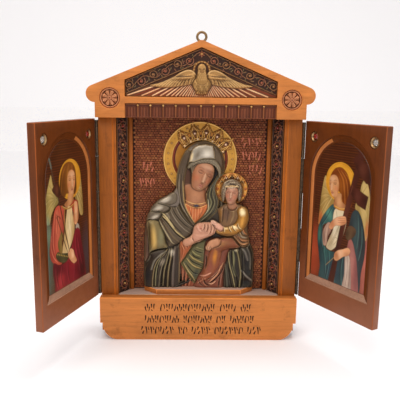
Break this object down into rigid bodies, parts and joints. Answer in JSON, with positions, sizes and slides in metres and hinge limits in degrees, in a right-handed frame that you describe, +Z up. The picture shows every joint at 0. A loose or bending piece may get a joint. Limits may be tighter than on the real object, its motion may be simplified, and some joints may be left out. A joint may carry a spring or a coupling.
{
  "type": "triptych altarpiece",
  "caption": "Gabled wooden household shrine with a painted mother-and-child relief in a niche, closed by two hinged doors with arched painted panels.",
  "frame": {"origin": "middle of the underside, on the surface it stands on", "axes": "+Z up, -Y is the front that the doors open from, +X to the viewer's right"},
  "size_m": [0.4514, 0.1909, 0.4681],
  "materials": {
    "gable_oak": "warm honey-brown varnish, satin, worn on the edges",
    "stile_oak": "golden brown varnish, satin",
    "case_oak": "plain stained wood",
    "door_oak": "dark red-brown varnish, satin, lighter on the edges",
    "carved_plaster": "cast composition, dark bronze and red paint with gilt high points",
    "frieze_plaster": "cast composition, brown glaze with gilt beads",
    "roundel_plaster": "cast composition, reddish brown glaze",
    "mosaic_plaster": "embossed composition, red-brown with bronze dust",
    "gilt_plaster": "bright gilding with a brown wash",
    "painted_plaster": "polychrome paint: bronzed cloak, gold and copper robes, pale skin",
    "painted_picture": "painted panel, varnished",
    "aged_brass": "dark aged brass",
    "red_paste": "polished red paste stone",
    "clear_paste": "polished clear paste stone"
  },
  "bodies": {
    "case": {"pediment_board": "gable_oak", "base_board": "gable_oak", "niche_floor": "gable_oak", "plinth": "gable_oak", "stile_left": "stile_oak", "stile_right": "stile_oak", "inner_bead_left": "stile_oak", "inner_bead_right": "stile_oak", "back_board": "case_oak", "bottom_board": "case_oak", "niche_ceiling": "case_oak", "case_side_left": "case_oak", "case_side_right": "case_oak", "roof_board_left": "case_oak", "roof_board_right": "case_oak", "carved_strip_left": "carved_plaster", "carved_strip_right": "carved_plaster", "tympanum_relief": "carved_plaster", "frieze": "frieze_plaster", "rosette_left": "roundel_plaster", "rosette_right": "roundel_plaster", "niche_panel": "mosaic_plaster", "nimbus": "gilt_plaster", "mother_and_child": "painted_plaster", "hanging_ring": "aged_brass", "hinge_frame_leaf_left": "aged_brass", "hinge_frame_leaf_right": "aged_brass", "hinge_pin_left": "aged_brass", "hinge_pin_right": "aged_brass"},
    "door_left": {"door_board_left": "door_oak", "door_picture_left": "painted_picture", "hinge_door_leaf_left": "aged_brass", "gem_left_hinge_side": "red_paste", "gem_left_free_side": "clear_paste", "gem_collet_left_hinge_side": "aged_brass", "gem_collet_left_free_side": "aged_brass"},
    "door_right": {"door_board_right": "door_oak", "door_picture_right": "painted_picture", "hinge_door_leaf_right": "aged_brass", "gem_right_hinge_side": "red_paste", "gem_right_free_side": "clear_paste", "gem_collet_right_hinge_side": "aged_brass", "gem_collet_right_free_side": "aged_brass"}
  },
  "joints": [
    {"name": "door_left_hinge", "type": "hinge", "parent": "case", "child": "door_left", "pos_m": [-0.1526, -0.01525, 0], "axis": [0, 0, 1], "range_deg": [-71.04, 108.96]},
    {"name": "door_right_hinge", "type": "hinge", "parent": "case", "child": "door_right", "pos_m": [0.1526, -0.01525, 0], "axis": [0, 0, -1], "range_deg": [-60.14, 119.86]}
  ]
}
